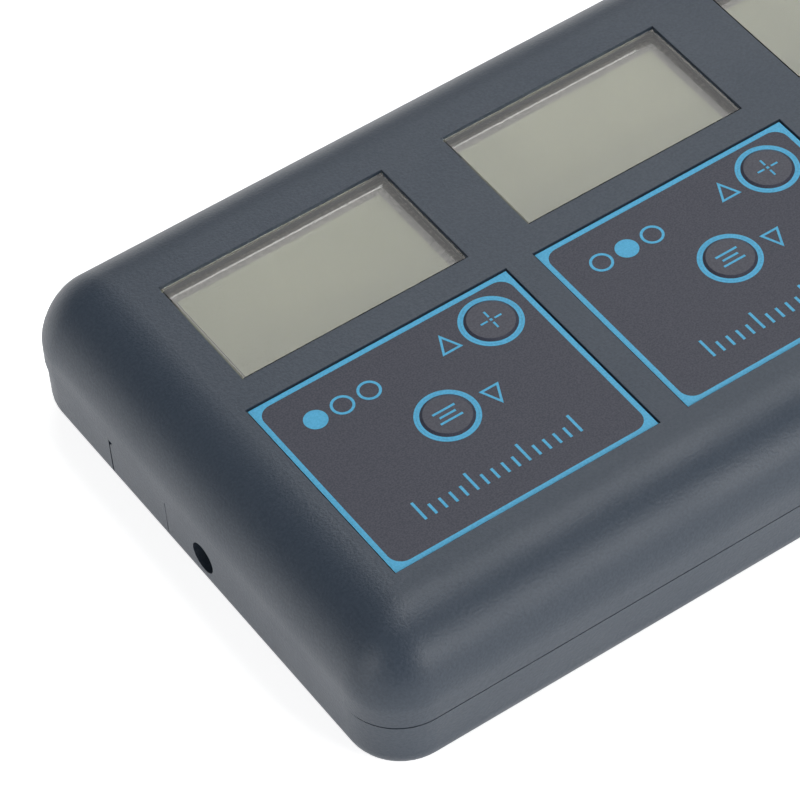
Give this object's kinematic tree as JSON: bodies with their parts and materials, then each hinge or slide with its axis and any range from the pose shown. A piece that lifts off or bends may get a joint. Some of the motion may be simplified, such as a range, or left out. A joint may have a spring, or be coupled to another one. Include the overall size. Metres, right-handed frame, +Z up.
{
  "type": "water quality monitor",
  "caption": "Flat desk and wall monitor with side-by-side displays, round membrane keys, a sliding battery cover, a power inlet and bayonet probe sockets.",
  "frame": {"origin": "middle of the flat underside", "axes": "+X along the row of displays, from the power inlet's end to the probe sockets' end; +Y to the long side behind the displays; +Z up, out of the case face"},
  "size_m": [0.2124, 0.109, 0.0284],
  "materials": {
    "case_plastic": "matte",
    "label_film": "satin",
    "window_acrylic": "gloss",
    "display_glass": "gloss",
    "black_plastic": "matte",
    "contact_elastomer": "matte",
    "board_laminate": "satin",
    "screw_steel": "satin",
    "nickel_plating": "satin",
    "plated_contact": "gloss",
    "white_insulator": "satin",
    "cell_sleeve": "gloss",
    "lead_insulation": "satin"
  },
  "bodies": {
    "housing": {"top_housing": "case_plastic", "bottom_housing": "case_plastic", "display_window_1": "window_acrylic", "lcd_cell_1": "display_glass", "lcd_bezel_1": "black_plastic", "lcd_connector_1": "contact_elastomer", "control_label_1": "label_film", "circuit_board_1": "board_laminate", "cal_switch_1": "black_plastic", "mode_switch_1": "black_plastic", "display_window_2": "window_acrylic", "lcd_cell_2": "display_glass", "lcd_bezel_2": "black_plastic", "lcd_connector_2": "contact_elastomer", "control_label_2": "label_film", "circuit_board_2": "board_laminate", "cal_switch_2": "black_plastic", "mode_switch_2": "black_plastic", "display_window_3": "window_acrylic", "lcd_cell_3": "display_glass", "lcd_bezel_3": "black_plastic", "lcd_connector_3": "contact_elastomer", "control_label_3": "label_film", "circuit_board_3": "board_laminate", "cal_switch_3": "black_plastic", "mode_switch_3": "black_plastic", "processor_chips": "black_plastic", "board_screws": "screw_steel", "case_screws": "screw_steel", "dc_jack": "black_plastic", "dc_jack_pin": "plated_contact", "probe_socket_1": "nickel_plating", "probe_socket_2": "nickel_plating", "probe_socket_insulators": "white_insulator", "probe_socket_contacts": "plated_contact", "probe_socket_washers": "nickel_plating", "probe_socket_nuts": "nickel_plating", "temperature_jack": "black_plastic", "temperature_jack_nut": "nickel_plating", "battery_cell_1": "cell_sleeve", "battery_cell_2": "cell_sleeve", "battery_contact_plate": "screw_steel", "battery_contact_spring": "screw_steel", "hookup_leads": "lead_insulation"},
    "battery_cover": {"battery_cover": "case_plastic"},
    "cal_key_1": {"cal_key_1": "label_film", "cal_key_stem_1": "black_plastic"},
    "mode_key_1": {"mode_key_1": "label_film", "mode_key_stem_1": "black_plastic"},
    "cal_key_2": {"cal_key_2": "label_film", "cal_key_stem_2": "black_plastic"},
    "mode_key_2": {"mode_key_2": "label_film", "mode_key_stem_2": "black_plastic"},
    "cal_key_3": {"cal_key_3": "label_film", "cal_key_stem_3": "black_plastic"},
    "mode_key_3": {"mode_key_3": "label_film", "mode_key_stem_3": "black_plastic"}
  },
  "joints": [
    {"name": "battery_cover_slide", "type": "slide", "parent": "housing", "child": "battery_cover", "axis": [-1, 0, 0], "range_m": [0, 0.008]},
    {"name": "cal_key_1_press", "type": "slide", "parent": "housing", "child": "cal_key_1", "axis": [0, 0, -1], "range_m": [0, 0.0005], "stiffness_N_per_m": 3000},
    {"name": "mode_key_1_press", "type": "slide", "parent": "housing", "child": "mode_key_1", "axis": [0, 0, -1], "range_m": [0, 0.0005], "stiffness_N_per_m": 3000},
    {"name": "cal_key_2_press", "type": "slide", "parent": "housing", "child": "cal_key_2", "axis": [0, 0, -1], "range_m": [0, 0.0005], "stiffness_N_per_m": 3000},
    {"name": "mode_key_2_press", "type": "slide", "parent": "housing", "child": "mode_key_2", "axis": [0, 0, -1], "range_m": [0, 0.0005], "stiffness_N_per_m": 3000},
    {"name": "cal_key_3_press", "type": "slide", "parent": "housing", "child": "cal_key_3", "axis": [0, 0, -1], "range_m": [0, 0.0005], "stiffness_N_per_m": 3000},
    {"name": "mode_key_3_press", "type": "slide", "parent": "housing", "child": "mode_key_3", "axis": [0, 0, -1], "range_m": [0, 0.0005], "stiffness_N_per_m": 3000}
  ]
}
